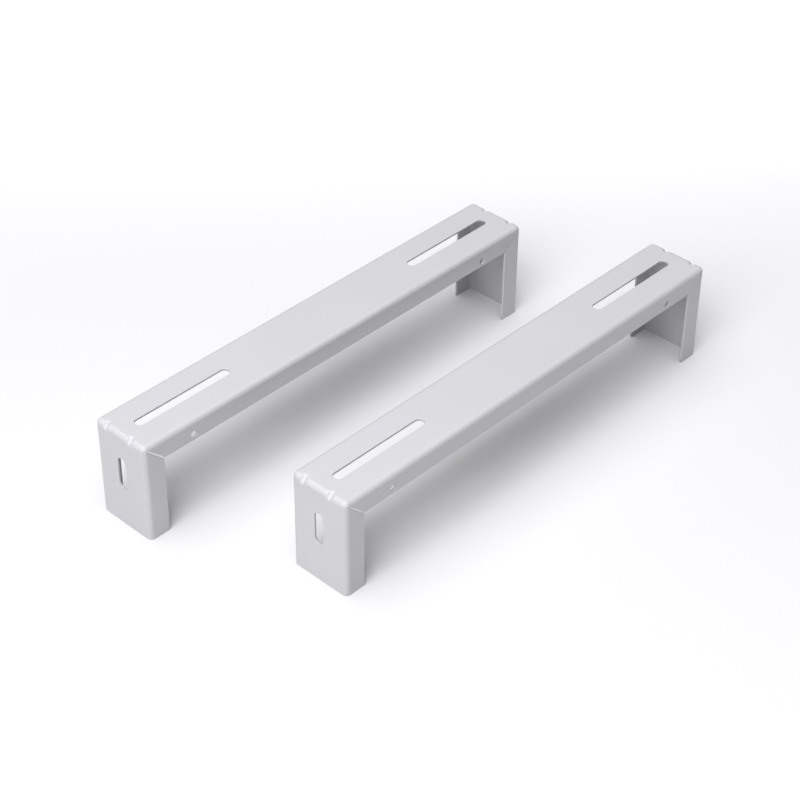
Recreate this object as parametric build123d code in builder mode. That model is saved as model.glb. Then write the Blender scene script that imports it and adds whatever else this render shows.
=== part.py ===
from build123d import *
from math import hypot, sqrt
import os

os.makedirs("parts", exist_ok=True)

# The stand is a pair of low rails that stand loose on the ground, parallel to each other.
# Each rail is one blank of sheet steel, folded into a bridge with a leg at each end.
# Lengths are millimetres. Y runs along the rails, Z is up and the ground is Z = 0.

# The sheet and its folds. Every fold has the same radius.
sheet = 2.0
inner_bend = 2.5
outer_bend = inner_bend + sheet

# One rail, outside to outside. The flanges are measured from the outside of the fold.
rail_length = 450.0
rail_width = 59.0
stand_height = 95.0
top_flange = 19.5
leg_flange = 20.5

# The mitre seam, where a top flange meets a leg flange. It opens from its root to its mouth.
relief_diameter = 2.4
root_gap = 0.8
mouth_gap = 1.8

# The long slots in the top, for the bolts of the unit that stands on the rails.
# The margin is the metal left between a slot and the end of the rail.
unit_slot_length = 100.0
unit_slot_width = 9.0
unit_slot_margin = 17.5

# The upright slot in the front leg, for a bolt into a wall or a frame.
anchor_slot_length = 31.0
anchor_slot_width = 9.5
anchor_slot_drop = 41.0

# The small round holes in the top flanges, measured in from the end of the rail and up
# from the flange's free edge.
side_hole_diameter = 6.0
side_hole_inset = 52.5
side_hole_rise = 5.5

# The stiffening darts, pressed into the fold between the top and each leg. The rail is
# turned round between its two end folds, so both pairs sit off centre to the same hand.
dart_radius = 3.2
dart_reach = 5.8
dart_pitch = 29.0
dart_offset = 3.0

# Where the rails stand. The right rail is further back than the left one.
rail_spacing = 160.0
rail_stagger = 63.0


def folded_space(inset):
    """The space inside the sheet's outer face moved in by inset, with its folds and darts.

    A dart is the mark of a round bar laid across the fold at 45 degrees. The bar's axis
    is the same for every inset, so the sheet keeps its thickness through the dart.
    """
    with BuildPart() as space:
        Box(
            rail_width - 2 * inset,
            rail_length - 2 * inset,
            stand_height - inset,
            align=(Align.CENTER, Align.CENTER, Align.MIN),
        )
        upright_folds = space.edges().filter_by(Axis.Z)
        top_folds = space.edges().group_by(Axis.Z)[-1]
        fillet(upright_folds + top_folds, outer_bend - inset)
        for end in (-1, 1):
            corner = (0, end * rail_length / 2, stand_height)
            across_fold = Plane(origin=corner, x_dir=(1, 0, 0), z_dir=(0, 1, -end))
            axis_depth = dart_reach / sqrt(2) - dart_radius
            middle = end * dart_offset
            with BuildSketch(across_fold):
                with Locations((middle - dart_pitch / 2, axis_depth), (middle + dart_pitch / 2, axis_depth)):
                    Circle(dart_radius + inset)
            extrude(amount=2 * dart_reach, both=True, mode=Mode.SUBTRACT)
    return space.part


def mitre_outline(end):
    """The four corners of a mitre's open wedge, as Y and Z, on the leg at this end."""
    root_y = rail_length / 2 - outer_bend
    root_z = stand_height - outer_bend
    run_y = leg_flange - outer_bend
    run_z = top_flange - outer_bend
    run = hypot(run_y, run_z)
    past_mouth = run + mouth_gap
    corners = []
    for distance, offset in (
        (0, -root_gap / 2),
        (0, root_gap / 2),
        (past_mouth, mouth_gap / 2),
        (past_mouth, -mouth_gap / 2),
    ):
        y = root_y - (distance * run_y - offset * run_z) / run
        z = root_z - (distance * run_z + offset * run_y) / run
        corners.append((end * y, z))
    return corners


outside = folded_space(0)
hollow = folded_space(sheet)

with BuildPart() as folded_rail:
    add(outside)
    add(hollow, mode=Mode.SUBTRACT)

    # The flanges stop short of the middle and leave the bridge open from side to side
    with BuildSketch(Plane.YZ) as bridge_opening:
        Rectangle(
            rail_length - 2 * leg_flange,
            stand_height - top_flange,
            align=(Align.CENTER, Align.MIN),
        )
    extrude(amount=rail_width, both=True, mode=Mode.SUBTRACT)

    # Mitres with their relief holes, and the small holes, in both flanges
    side_hole_height = stand_height - top_flange + side_hole_rise
    for side in (-1, 1):
        with BuildSketch(Plane.YZ.offset(side * rail_width / 2)) as flange_cuts:
            for end in (-1, 1):
                with Locations((end * (rail_length / 2 - outer_bend), stand_height - outer_bend)):
                    Circle(relief_diameter / 2)
                Polygon(*mitre_outline(end), align=None)
                with Locations((end * (rail_length / 2 - side_hole_inset), side_hole_height)):
                    Circle(side_hole_diameter / 2)
        extrude(amount=-side * outer_bend, mode=Mode.SUBTRACT)

    # Slots in the top
    unit_slot_centre = (rail_length - unit_slot_length) / 2 - unit_slot_margin
    with BuildSketch(Plane.XY.offset(stand_height)) as unit_slots:
        with Locations((0, -unit_slot_centre), (0, unit_slot_centre)):
            SlotOverall(unit_slot_length, unit_slot_width, rotation=90)
    extrude(amount=-2 * sheet, mode=Mode.SUBTRACT)

    # An upright slot in the front leg. The rear leg is plain.
    with BuildSketch(Plane.XZ) as anchor_slot:
        with Locations((0, stand_height - anchor_slot_drop)):
            SlotOverall(anchor_slot_length, anchor_slot_width, rotation=90)
    extrude(amount=rail_length, mode=Mode.SUBTRACT)

# The two rails are alike
for rail_name, side in (("left_rail", -1), ("right_rail", 1)):
    with BuildPart() as rail:
        with Locations((side * rail_spacing / 2, side * rail_stagger / 2, 0)):
            add(folded_rail.part)
    rail.part.label = rail_name
    export_step(rail.part, f"parts/{rail_name}.step")
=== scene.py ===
import math

import bmesh
import bpy
import numpy as np
from mathutils import Matrix, Vector


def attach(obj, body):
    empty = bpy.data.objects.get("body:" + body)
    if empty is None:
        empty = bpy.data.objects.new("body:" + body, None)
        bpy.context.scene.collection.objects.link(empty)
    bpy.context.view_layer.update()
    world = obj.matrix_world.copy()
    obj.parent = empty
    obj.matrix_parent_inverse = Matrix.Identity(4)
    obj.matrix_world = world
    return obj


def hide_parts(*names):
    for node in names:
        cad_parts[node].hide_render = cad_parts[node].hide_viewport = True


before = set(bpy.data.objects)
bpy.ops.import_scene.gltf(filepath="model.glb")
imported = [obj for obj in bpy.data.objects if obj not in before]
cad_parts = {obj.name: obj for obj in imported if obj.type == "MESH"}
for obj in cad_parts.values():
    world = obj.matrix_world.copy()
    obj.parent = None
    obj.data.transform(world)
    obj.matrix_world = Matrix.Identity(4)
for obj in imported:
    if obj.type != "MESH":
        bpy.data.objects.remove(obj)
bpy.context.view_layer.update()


# ---------------------------------------------------------------------------------------
# The two rails. Each is one blank of sheet steel, punched flat, folded into a bridge with
# a leg at each end, and powder coated in a pale grey white after folding. They stand loose
# on the ground and nothing joins them.
# ---------------------------------------------------------------------------------------
mm = 0.001
sheet = 2.0 * mm
bend = 4.5 * mm
half_length = 225.0 * mm
half_width = 29.5 * mm
stand_height = 95.0 * mm
top_flange = 19.5 * mm
leg_flange = 20.5 * mm
rail_places = {"left_rail": (-80.0 * mm, -31.5 * mm), "right_rail": (80.0 * mm, 31.5 * mm)}

# Lengths on the flat blank, measured on the outer face from the middle of the top: u runs
# across the rail and v runs along it. One quarter of the blank is laid out and mirrored.
quarter_turn = math.pi / 2
flat_width = half_width - bend
flat_length = half_length - bend
fold_height = stand_height - bend
flange_start = flat_width + bend * quarter_turn
leg_start = flat_length + bend * quarter_turn
top_flange_edge = flange_start + top_flange - bend
leg_flange_edge = flange_start + leg_flange - bend
foot = leg_start + fold_height


def folded(u, v, depth):
    """Carries points of the flat blank to the folded sheet, at a depth below its outer face.

    Past the flat top, u and v each turn through a quarter circle of the bend's radius and
    then run on flat, down a flange or down a leg. A point is the middle of its bend plus
    the bend's radius, less the depth, along the outward normal. Where u and v both turn,
    the normal sweeps a ball.
    """
    turn_u = np.clip((u - flat_width) / bend, 0, quarter_turn)
    turn_v = np.clip((v - flat_length) / bend, 0, quarter_turn)
    along_flange = np.maximum(u - flange_start, 0)
    down_leg = np.maximum(v - leg_start, 0)
    normal = np.stack(
        [np.sin(turn_u), np.cos(turn_u) * np.sin(turn_v), np.cos(turn_u) * np.cos(turn_v)], -1
    )
    middle = np.stack(
        [
            np.minimum(u, flat_width),
            np.minimum(v, flat_length) - along_flange * np.sin(turn_v),
            fold_height - along_flange * np.cos(turn_v) - down_leg,
        ],
        -1,
    )
    return middle + (bend - depth)[..., None] * normal


# The stiffening darts, two in each end fold. They reach this far in from the fold's sharp
# corner, and the softness is how far off their rims are rounded.
dart_radius = 3.2 * mm
dart_reach = 5.8 * mm
dart_pitch = 29.0 * mm
dart_offset = 3.0 * mm
dart_softness = 1.3 * mm


def pressed(points, depth):
    """Presses the stiffening darts into the folds between the top and the legs.

    Each point has a distance under the fold's sharp corner, measured square across the
    corner. Under a dart it is at least the distance to a round bar laid across the fold.
    The larger of the two holds, and where they are close their crossing is rounded by a
    parabola.
    """
    x, y, z = points[..., 0], points[..., 1], points[..., 2]
    under_corner = (half_length - np.abs(y) + stand_height - z) / math.sqrt(2)
    end = np.where(y < 0, -1.0, 1.0)
    from_middle = x - end * dart_offset
    from_dart = np.abs(from_middle) - dart_pitch / 2
    bar = np.sqrt(np.maximum((dart_radius + depth) ** 2 - from_dart**2, 0))
    bar = bar + dart_reach / math.sqrt(2) - dart_radius
    closeness = np.maximum(dart_softness - np.abs(under_corner - bar), 0)
    pushed = np.maximum(under_corner, bar) + closeness**2 / (4 * dart_softness)
    step = (pushed - under_corner) / math.sqrt(2)
    return np.stack([x, y - end * step, z - step], -1)


# The coated cut edge is rounded off to this radius. Its profile leaves the face at
# edge_margin, so that the faces' shading stays flat up to the edge.
edge_round = 0.35 * mm
edge_margin = 0.5 * mm
edge_steps = 3
edge_turn = np.linspace(0, quarter_turn, edge_steps + 1)
edge_inset = np.concatenate([[edge_margin], edge_round * (1 - np.sin(edge_turn))])
edge_depth = np.concatenate([[0.0], edge_round * (1 - np.cos(edge_turn))])
profile_inset = np.concatenate([edge_inset, edge_inset[::-1]])
profile_depth = np.concatenate([edge_depth, sheet - edge_depth[::-1]])

# Grids of the blank, each point as u, v and depth. Those of the leg's plate differ at the
# two ends, because only the front leg has a slot.
patches = {"both ends": [], "front": [], "rear": []}


def lay_face(u, v, where="both ends"):
    """Adds a grid of the blank twice, as the outer face and, one sheet deeper, the inner face."""
    u, v = np.broadcast_arrays(u, v)
    for depth in (0.0, sheet):
        patches[where].append(np.stack([u, v, np.full(u.shape, depth)], -1))


def lay_cut_edge(outline, outward, where="both ends"):
    """Carries the cut edge's rounded profile along an outline of the blank.

    Each row of the grid is the outline moved back by the profile's inset, against the
    outward direction, and set at the profile's depth.
    """
    rows = outline[None] - profile_inset[:, None, None] * outward[None]
    depth = np.broadcast_to(profile_depth[:, None, None], rows.shape[:2] + (1,))
    patches[where].append(np.concatenate([rows, depth], -1))


# Rings between two outlines lie closer together near the inner one
ring_growth = 1.3


def lay_between(inner, outer, rings, where="both ends"):
    """Fills the blank between two outlines with equal counts of points, as straight blends."""
    share = np.linspace(0, 1, rings + 1)[:, None] ** ring_growth
    u, v = (inner[:, axis] + share * (outer[:, axis] - inner[:, axis]) for axis in (0, 1))
    lay_face(u, v, where)


def lines(*stops):
    """Grid lines through the stops, as (value, number of steps up to it), each run even."""
    runs = [
        np.linspace(start, end, steps + 1)[:-1]
        for (start, _), (end, steps) in zip(stops, stops[1:])
    ]
    return np.concatenate(runs + [[stops[-1][0]]])


# The corner of the side, where the top flange and the leg flange meet in a mitre. It is laid
# out as distances from the middle of the ball corner: back along the rail, and down. The
# gap reaches its mouth's width one mouth gap past the flanges' corners.
relief = 1.2 * mm
root_half_gap = 0.4 * mm
mouth_half_gap = 0.9 * mm
mitre_steps = 12
relief_steps = 7
mitre_run = np.array([leg_flange - bend, top_flange - bend])
mitre_length = np.hypot(*mitre_run)
along_mitre = mitre_run / mitre_length
across_mitre = np.array([along_mitre[1], -along_mitre[0]])
gap_growth = (mouth_half_gap - root_half_gap) / (mitre_length + 2 * mouth_half_gap)


def mitre_edge(side, distance):
    """Points on one edge of the mitre: out along its middle line, and half the gap to a side."""
    half_gap = root_half_gap + gap_growth * distance
    return distance[:, None] * along_mitre + (side * half_gap)[:, None] * across_mitre


def on_blank(towards_edge, other):
    """Where a side point lies on the blank: round the bend while it is short of the bend's
    middle, and flat past it. The other length needs no unrolling."""
    turn = np.arccos(np.clip(-towards_edge / bend, 0, 1))
    return np.stack([flat_width + bend * turn + np.maximum(towards_edge, 0), other], -1)


# How far out along the mitre its edges leave the relief hole, and meet the free edges of
# the top flange and of the leg flange
relief_half_gap = root_half_gap + gap_growth * relief
mitre_start = math.sqrt(relief**2 - relief_half_gap**2)
top_mouth = (mitre_run[1] - root_half_gap * across_mitre[1]) / (
    along_mitre[1] + gap_growth * across_mitre[1]
)
leg_mouth = (mitre_run[0] + root_half_gap * across_mitre[0]) / (
    along_mitre[0] - gap_growth * across_mitre[0]
)
top_mitre = mitre_edge(1, np.linspace(top_mouth, mitre_start, mitre_steps + 1))
leg_mitre = mitre_edge(-1, np.linspace(mitre_start, leg_mouth, mitre_steps + 1))

# The relief hole's arcs on the two flanges, and its middle part, which is taken straight
# across the fold
top_first_angle = math.atan2(top_mitre[-1, 0], -top_mitre[-1, 1])
leg_last_angle = math.atan2(leg_mitre[0, 1], -leg_mitre[0, 0])
top_angle = np.linspace(top_first_angle, 0, relief_steps + 1)[1:-1]
leg_angle = np.linspace(0, leg_last_angle, relief_steps + 1)[1:-1]
top_relief = relief * np.stack([np.sin(top_angle), -np.cos(top_angle)], -1)
leg_relief = relief * np.stack([-np.cos(leg_angle), np.sin(leg_angle)], -1)
fold_steps = 14
fold_lines = np.linspace(flat_length, leg_start, fold_steps + 1)
ring_u = flat_width + bend * math.acos(relief / bend)
top_side = np.concatenate([top_mitre, top_relief])
leg_side = np.concatenate([leg_relief, leg_mitre])
corner = np.concatenate(
    [
        on_blank(top_side[:, 1], flat_length - top_side[:, 0]),
        np.stack([np.full(fold_lines.shape, ring_u), fold_lines], -1),
        on_blank(leg_side[:, 0], leg_start + leg_side[:, 1]),
    ]
)
# The outward direction at a corner point is the sum of its two segments' normals, stretched
# so that both segments move out by one. The free edges on both sides face straight out.
tangent = np.diff(corner, axis=0)
tangent /= np.hypot(tangent[:, :1], tangent[:, 1:])
turned_out = np.stack([tangent[:, 1], -tangent[:, 0]], -1)
straight_out = [[1.0, 0.0]]
normals = np.concatenate([straight_out, turned_out, straight_out])
stretch = 1 + np.sum(normals[:-1] * normals[1:], -1, keepdims=True)
corner_out = (normals[:-1] + normals[1:]) / stretch
ring = slice(len(top_side), len(top_side) + len(fold_lines))
corner_out[ring] = (1.0, 0.0)
corner_inset = corner - edge_margin * corner_out

# Holes and slots, as places on the blank. A slot's ends are the middles of its round ends.
unit_slot_radius = 4.5 * mm
unit_slot_ends = (112.0 * mm, 203.0 * mm)
anchor_slot_radius = 4.75 * mm
anchor_slot_ends = (leg_start + 25.75 * mm, leg_start + 47.25 * mm)
side_hole_radius = 3.0 * mm
side_hole = np.array([flange_start + 9.5 * mm, 172.5 * mm])

# The grid lines. The top and the leg share the lines across, and the strips beside them take
# over their lines along. Lines lie close together in a strip beside the end fold. The plates
# round the slots and the hole are laid in the rectangles between these places. Between
# lean_from and lean_until the lines of the flanges lean over to meet the mitre.
close_strip = 4.0 * mm
slot_plate_start = 100.0 * mm
hole_plate = (165.5 * mm, 179.5 * mm)
hole_plate_above = flange_start + 4.6 * mm
anchor_plate_end = foot - 22.0 * mm
lean_from = 182.0 * mm
lean_until = leg_start + 30.0 * mm
plate_steps = 40
side_fold_steps = 10

across = np.linspace(0, flat_width, plate_steps + 1)
across_fold = np.linspace(flat_width, ring_u - edge_margin, side_fold_steps + 1)
middle_lines = lines((0, 0), (slot_plate_start, 5))
slot_lines = lines(
    (slot_plate_start, 0),
    (hole_plate[0], 6),
    (hole_plate[1], 14),
    (lean_from, 2),
    (flat_length - close_strip, 12),
)
top_end_lines = lines((flat_length - close_strip, 0), (flat_length, 8))
leg_end_lines = lines((leg_start, 0), (leg_start + close_strip, 8))
anchor_lines = lines((leg_start + close_strip, 0), (anchor_plate_end, 22))
foot_lines = lines((anchor_plate_end, 0), (foot - edge_margin, 5))
slot_rings = 8
hole_rings = 6


def lay_slot(radius, ends, side_lines, where="both ends"):
    """Lays the plate round half a long slot, out to a rectangle, and the slot's cut edge.

    The outline is a quarter circle, a straight side and a quarter circle. Each of its
    points is joined to the point of the same number on the rectangle's three sides.
    """
    angle = np.linspace(0, quarter_turn, len(across))[:, None]
    share = (side_lines[1:-1] - side_lines[0]) / (side_lines[-1] - side_lines[0])
    out_first = np.concatenate([np.sin(angle), -np.cos(angle)], -1)
    out_side = np.tile([1.0, 0.0], (len(share), 1))
    out_last = np.concatenate([np.cos(angle), np.sin(angle)], -1)
    away = np.concatenate([out_first, out_side, out_last])
    centre_v = np.concatenate(
        [
            np.full(len(across), ends[0]),
            ends[0] + share * (ends[1] - ends[0]),
            np.full(len(across), ends[1]),
        ]
    )
    outline = radius * away
    outline[:, 1] += centre_v
    rectangle = np.concatenate(
        [
            np.stack([across, np.full(len(across), side_lines[0])], -1),
            np.stack([np.full(len(share), flat_width), side_lines[1:-1]], -1),
            np.stack([across[::-1], np.full(len(across), side_lines[-1])], -1),
        ]
    )
    lay_cut_edge(outline, -away, where)
    lay_between(outline + edge_margin * away, rectangle, slot_rings, where)


# The top, the end fold with its ball corner, and the leg
lay_face(across[:, None], middle_lines[None])
lay_slot(unit_slot_radius, unit_slot_ends, slot_lines)
lay_face(across[:, None], top_end_lines[None])
lay_face(np.concatenate([across, across_fold[1:]])[:, None], fold_lines[None])
lay_face(across[:, None], leg_end_lines[None])
lay_slot(anchor_slot_radius, anchor_slot_ends, anchor_lines, "front")
lay_face(across[:, None], anchor_lines[None], "rear")
lay_face(across[:, None], foot_lines[None])

# The top's side fold and flange
top_nodes = corner_inset[: ring.start][::-1]
top_u = np.concatenate([across_fold, top_nodes[:, 0]])
top_end = np.concatenate([np.full(len(across_fold), flat_length), top_nodes[:, 1]])
top_lines = np.concatenate([middle_lines, slot_lines[1:], top_end_lines[1:]])
share = np.clip((top_lines - lean_from) / (flat_length - lean_from), 0, 1)
top_v = np.minimum(top_lines, lean_from)[None] + share[None] * (top_end[:, None] - lean_from)
top_u = np.broadcast_to(top_u[:, None], top_v.shape)

# The plate round the small hole runs from the lines on both sides of it to the free edge
first = int(np.argmin(np.abs(top_lines - hole_plate[0])))
last = int(np.argmin(np.abs(top_lines - hole_plate[1])))
above = int(np.argmin(np.abs(top_u[:, 0] - hole_plate_above)))
lay_face(top_u[:, : first + 1], top_v[:, : first + 1])
lay_face(top_u[:, last:], top_v[:, last:])
lay_face(top_u[: above + 1, first : last + 1], top_v[: above + 1, first : last + 1])
strip = np.stack([top_u, top_v], -1)
plate_outline = np.concatenate(
    [
        strip[above, first:last],
        strip[above:-1, last],
        strip[-1, last:first:-1],
        strip[:above:-1, first],
        strip[above : above + 1, first],
    ]
)
away = plate_outline - side_hole
away /= np.hypot(away[:, :1], away[:, 1:])
lay_cut_edge(side_hole + side_hole_radius * away, -away)
lay_between(side_hole + (side_hole_radius + edge_margin) * away, plate_outline, hole_rings)

# The leg's side fold and flange
leg_nodes = corner_inset[ring.stop :]
leg_u = np.concatenate([across_fold, leg_nodes[:, 0]])
leg_first = np.concatenate([np.full(len(across_fold), leg_start), leg_nodes[:, 1]])
leg_lines = np.concatenate([leg_end_lines, anchor_lines[1:], foot_lines[1:]])
share = np.clip((lean_until - leg_lines) / (lean_until - leg_start), 0, 1)
leg_v = np.maximum(leg_lines, lean_until)[None] - share[None] * (lean_until - leg_first[:, None])
lay_face(leg_u[:, None], leg_v)

# The outer cut edge: the top flange's free edge, the corner, the leg flange's free edge,
# and the foot
outline = np.concatenate(
    [
        np.stack([np.full(len(top_lines) - 1, top_flange_edge), top_v[-1, :-1]], -1),
        corner,
        np.stack([np.full(len(leg_lines) - 2, leg_flange_edge), leg_v[-1, 1:-1]], -1),
        [[leg_flange_edge, foot]],
        np.stack([leg_u[-2::-1], np.full(len(leg_u) - 1, foot)], -1),
        np.stack([across[-2::-1], np.full(len(across) - 1, foot)], -1),
    ]
)
outward = np.concatenate(
    [
        np.tile([1.0, 0.0], (len(top_lines) - 1, 1)),
        corner_out,
        np.tile([1.0, 0.0], (len(leg_lines) - 2, 1)),
        [[1.0, 1.0]],
        np.tile([0.0, 1.0], (len(leg_u) - 1 + len(across) - 1, 1)),
    ]
)
lay_cut_edge(outline, outward)

# Points of neighbouring grids that are closer than this are one point of the sheet
weld_distance = 0.002 * mm


def rail_mesh(name, place):
    """Folds the quarter blank, mirrors it to four, presses the darts and closes the sheet."""
    points, faces, count = [], [], 0
    for x_side, y_side in ((1, 1), (-1, 1), (-1, -1), (1, -1)):
        for patch in patches["both ends"] + patches["front" if y_side < 0 else "rear"]:
            depth = patch[..., 2]
            found = folded(patch[..., 0], patch[..., 1], depth) * (x_side, y_side, 1)
            points.append(pressed(found, depth).reshape(-1, 3) + (*place, 0.0))
            number = count + np.arange(depth.size).reshape(depth.shape)
            quads = [number[:-1, :-1], number[1:, :-1], number[1:, 1:], number[:-1, 1:]]
            faces.append(np.stack(quads, -1).reshape(-1, 4))
            count += depth.size
    mesh = bpy.data.meshes.new(name)
    mesh.from_pydata(np.concatenate(points).tolist(), [], np.concatenate(faces).tolist())
    shell = bmesh.new()
    shell.from_mesh(mesh)
    bmesh.ops.remove_doubles(shell, verts=shell.verts, dist=weld_distance)
    bmesh.ops.recalc_face_normals(shell, faces=shell.faces)
    shell.to_mesh(mesh)
    shell.free()
    mesh.polygons.foreach_set("use_smooth", np.ones(len(mesh.polygons), bool))
    return mesh


class Wire:
    """One output socket of a material's nodes. Sums and products of wires add Math nodes."""

    def __init__(self, tree, socket):
        self.tree = tree
        self.socket = socket

    def math(self, operation, *others):
        """Adds one Math node on this wire and the others, which are wires or numbers."""
        node = self.tree.nodes.new("ShaderNodeMath")
        node.operation = operation
        for place, value in enumerate((self,) + others):
            if isinstance(value, Wire):
                self.tree.links.new(value.socket, node.inputs[place])
            else:
                node.inputs[place].default_value = value
        return Wire(self.tree, node.outputs[0])

    def __add__(self, other):
        return self.math("ADD", other)

    def __radd__(self, other):
        return self.math("ADD", other)

    def __mul__(self, other):
        return self.math("MULTIPLY", other)

    def __rmul__(self, other):
        return self.math("MULTIPLY", other)


def add_node(tree, kind, settings=None, inputs=None, output=0):
    """Adds one node of this type, with its settings and inputs, and returns its output."""
    node = tree.nodes.new(kind)
    for name, value in (settings or {}).items():
        setattr(node, name, value)
    for name, value in (inputs or {}).items():
        if isinstance(value, Wire):
            tree.links.new(value.socket, node.inputs[name])
        else:
            node.inputs[name].default_value = value
    return Wire(tree, node.outputs[output])


# The coat where it lies thin and thick. The waves of its noises are counted per metre: the
# peel's are about 1.6 mm long, the grain's 0.4 mm and the drift's 70 mm.
thin_coat = (0.474, 0.471, 0.486, 1)
thick_coat = (0.500, 0.497, 0.511, 1)
peel_waves = 620.0
grain_waves = 2600.0
drift_waves = 14.0
peel_height = 0.18 * mm
least_roughness = 0.44
roughness_drift = 0.12
# Sockets of the Mix node's colour blend
mix_share, mix_first, mix_second, mix_result = 0, 6, 7, 2


def white_powder_coat():
    """Satin powder coat, baked on. A fine orange peel, and slow drifts of thickness and gloss."""
    material = bpy.data.materials.new("white_powder_coat")
    material.use_nodes = True
    tree = material.node_tree
    shader = tree.nodes["Principled BSDF"]
    place = add_node(tree, "ShaderNodeTexCoord", output="Object")

    def noise(waves, detail, roughness):
        """A noise of this many waves per metre, from 0 to 1."""
        inputs = {"Vector": place, "Scale": waves, "Detail": detail, "Roughness": roughness}
        return add_node(tree, "ShaderNodeTexNoise", inputs=inputs)

    peel = noise(peel_waves, detail=2.0, roughness=0.45)
    grain = noise(grain_waves, detail=1.0, roughness=0.5)
    drift = noise(drift_waves, detail=3.0, roughness=0.5)

    surface = peel * 0.75 + grain * 0.25
    bump = add_node(
        tree,
        "ShaderNodeBump",
        inputs={"Height": surface, "Strength": 0.5, "Distance": peel_height},
    )
    tone = add_node(
        tree,
        "ShaderNodeMix",
        {"data_type": "RGBA"},
        {mix_share: drift * 0.8 + grain * 0.2, mix_first: thin_coat, mix_second: thick_coat},
        output=mix_result,
    )
    roughness = drift * roughness_drift + least_roughness
    tree.links.new(tone.socket, shader.inputs["Base Color"])
    tree.links.new(roughness.socket, shader.inputs["Roughness"])
    tree.links.new(bump.socket, shader.inputs["Normal"])
    shader.inputs["Coat Weight"].default_value = 0.06
    shader.inputs["Coat Roughness"].default_value = 0.35
    return material


coat = white_powder_coat()
for rail, place in rail_places.items():
    name = rail + "_folded_sheet"
    piece = bpy.data.objects.new(name, rail_mesh(name, place))
    piece.data.materials.append(coat)
    bpy.context.scene.collection.objects.link(piece)
    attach(piece, "root")
    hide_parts(rail)

# ---------------------------------------------------------------------------------------
# The floor: one plain pale sheet with no shine, wide enough for every view. Under the
# lights it comes out nearly white, as the ground of a studio picture does.
# ---------------------------------------------------------------------------------------
floor_reach = 20.0
floor_colour = (0.65, 0.65, 0.65, 1)
floor_corners = [
    (x_side * floor_reach, y_side * floor_reach, 0)
    for x_side, y_side in ((-1, -1), (1, -1), (1, 1), (-1, 1))
]
floor_mesh = bpy.data.meshes.new("floor")
floor_mesh.from_pydata(floor_corners, [], [(0, 1, 2, 3)])
floor = bpy.data.objects.new("floor", floor_mesh)
bpy.context.scene.collection.objects.link(floor)
floor_paint = bpy.data.materials.new("pale_floor")
floor_paint.use_nodes = True
floor_shader = floor_paint.node_tree.nodes["Principled BSDF"]
floor_shader.inputs["Base Color"].default_value = floor_colour
floor_shader.inputs["Roughness"].default_value = 0.9
floor_shader.inputs["Specular IOR Level"].default_value = 0.0
floor_mesh.materials.append(floor_paint)

# ---------------------------------------------------------------------------------------
# The light: a broad soft light from overhead, a large soft box at the front right that
# brightens the fronts and the upright folds, a box over the floor behind that keeps it as
# pale as in front, and a weak light from all round.
# ---------------------------------------------------------------------------------------
daylight = (1.0, 0.995, 1.02)
overhead = bpy.data.lights.new("overhead", "SUN")
overhead.energy = 2.86
overhead.angle = math.radians(70)
overhead.color = daylight
overhead_light = bpy.data.objects.new("overhead", overhead)
overhead_light.rotation_euler = Vector((-0.05, -0.1, 0.99)).to_track_quat("Z", "Y").to_euler()
bpy.context.scene.collection.objects.link(overhead_light)

soft_box_place = Vector((0.576, -1.671, 1.768))
soft_box = bpy.data.lights.new("soft_box", "AREA")
soft_box.energy = 53.4
soft_box.size = 1.6
soft_box.color = daylight
soft_box_light = bpy.data.objects.new("soft_box", soft_box)
soft_box_light.location = soft_box_place
soft_box_light.rotation_euler = soft_box_place.to_track_quat("Z", "Y").to_euler()
bpy.context.scene.collection.objects.link(soft_box_light)

backdrop = bpy.data.lights.new("backdrop", "AREA")
backdrop.energy = 6.0
backdrop.shape = "RECTANGLE"
backdrop.size = 1.6
backdrop.size_y = 0.5
backdrop.spread = math.radians(60)
backdrop_light = bpy.data.objects.new("backdrop", backdrop)
backdrop_light.location = (-0.72, 0.76, 1.3)
backdrop_light.rotation_euler = (0, 0, math.radians(43))
bpy.context.scene.collection.objects.link(backdrop_light)

world = bpy.data.worlds.new("studio")
world.use_nodes = True
world.node_tree.nodes["Background"].inputs["Color"].default_value = (1, 1, 1, 1)
world.node_tree.nodes["Background"].inputs["Strength"].default_value = 0.04
bpy.context.scene.world = world
bpy.context.scene.view_settings.view_transform = "Standard"

# ---------------------------------------------------------------------------------------
# The camera: its place, turn and lens are those fitted to the photograph's edges. It looks
# down on the pair from the front right.
# ---------------------------------------------------------------------------------------
camera_place = np.array([0.94587, -1.02339, 1.11036])
azimuth = math.radians(43.255)
elevation = math.radians(37.801)
roll = math.radians(-0.578)

forward = np.array(
    [
        -math.sin(azimuth) * math.cos(elevation),
        math.cos(azimuth) * math.cos(elevation),
        -math.sin(elevation),
    ]
)
level_right = np.cross(forward, [0, 0, 1])
level_right /= np.linalg.norm(level_right)
level_down = np.cross(forward, level_right)
right = math.cos(roll) * level_right + math.sin(roll) * level_down
down = math.cos(roll) * level_down - math.sin(roll) * level_right

camera = bpy.data.cameras.new("camera")
camera.sensor_width = 36
camera.lens = 92.4107
camera.clip_end = 100
camera_object = bpy.data.objects.new("camera", camera)
turn_and_place = np.eye(4)
turn_and_place[:3, 0] = right
turn_and_place[:3, 1] = -down
turn_and_place[:3, 2] = -forward
turn_and_place[:3, 3] = camera_place
camera_object.matrix_world = Matrix(turn_and_place.tolist())
bpy.context.scene.collection.objects.link(camera_object)
bpy.context.scene.camera = camera_object
